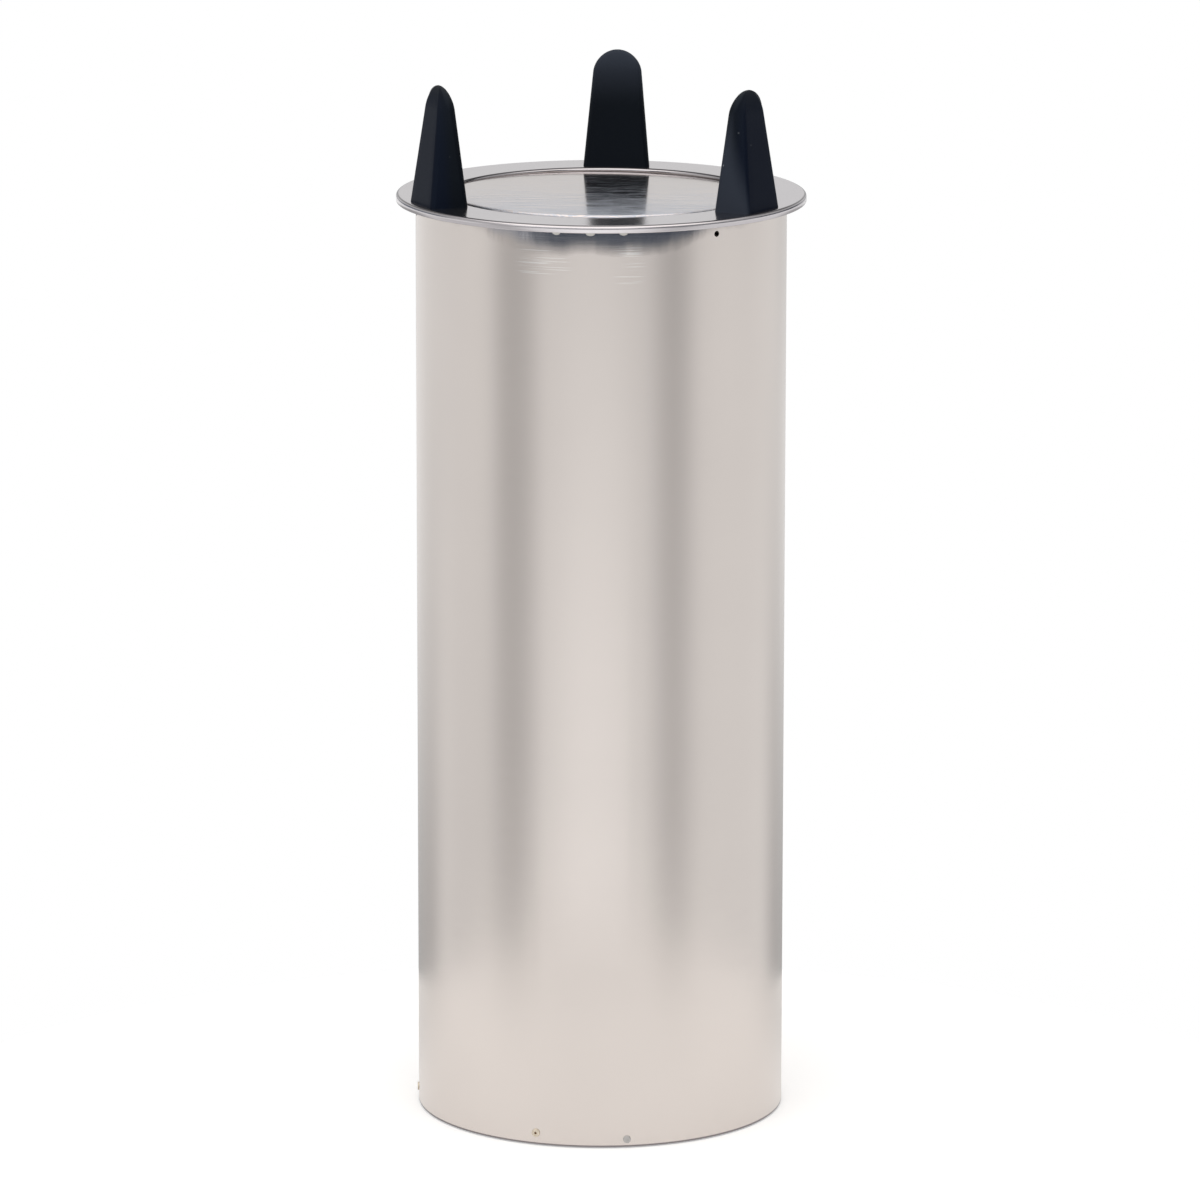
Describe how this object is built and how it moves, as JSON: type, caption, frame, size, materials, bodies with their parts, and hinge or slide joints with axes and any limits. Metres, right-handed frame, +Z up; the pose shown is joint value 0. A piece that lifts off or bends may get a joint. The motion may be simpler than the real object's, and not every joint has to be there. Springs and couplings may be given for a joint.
{
  "type": "plate dispenser",
  "caption": "Drop-in plate dispenser: a steel tube under a flanged ring with moulded plate guides and a spring-hung platform that rises as plates are taken.",
  "frame": {"origin": "on the floor under the middle of the shield tube", "axes": "+Z up along the tube, -Y towards the pictured front, +X to the right in the picture"},
  "size_m": [0.3194, 0.3194, 0.8218],
  "materials": {
    "shield_steel": "satin rolled",
    "flange_steel": "satin spun",
    "platform_steel": "brushed",
    "inner_steel": "mill",
    "rivet_alloy": "plain",
    "fastener_steel": "plain",
    "guide_plastic": "satin moulded",
    "shoe_nylon": "moulded",
    "stop_rubber": "moulded",
    "spring_wire": "drawn wire"
  },
  "bodies": {
    "housing": {"shield_tube": "shield_steel", "top_flange": "flange_steel", "base_pan": "inner_steel", "base_rivets": "rivet_alloy", "base_screws": "fastener_steel", "guide_screws": "fastener_steel", "rail_screws": "fastener_steel", "plate_guide_1": "guide_plastic", "guide_rail_1": "inner_steel", "spring_hanger_1": "inner_steel", "stop_pad_1": "stop_rubber", "bumper_1": "stop_rubber", "spring_set_1": "spring_wire", "plate_guide_2": "guide_plastic", "guide_rail_2": "inner_steel", "spring_hanger_2": "inner_steel", "stop_pad_2": "stop_rubber", "bumper_2": "stop_rubber", "spring_set_2": "spring_wire", "plate_guide_3": "guide_plastic", "guide_rail_3": "inner_steel", "spring_hanger_3": "inner_steel", "stop_pad_3": "stop_rubber", "bumper_3": "stop_rubber", "spring_set_3": "spring_wire"},
    "carrier": {"plate_platform": "platform_steel", "spring_ring": "inner_steel", "leg_bolts": "fastener_steel", "shoe_screws": "fastener_steel", "carrier_leg_1": "inner_steel", "upper_shoe_1": "shoe_nylon", "lower_shoe_1": "shoe_nylon", "carrier_leg_2": "inner_steel", "upper_shoe_2": "shoe_nylon", "lower_shoe_2": "shoe_nylon", "carrier_leg_3": "inner_steel", "upper_shoe_3": "shoe_nylon", "lower_shoe_3": "shoe_nylon"}
  },
  "joints": [
    {"name": "carrier_slide", "type": "slide", "parent": "housing", "child": "carrier", "axis": [0, 0, 1], "range_m": [-0.4698, 0], "stiffness_N_per_m": 800, "springref_m": 0.05, "deforming": ["spring_set_1", "spring_set_2", "spring_set_3"]}
  ]
}
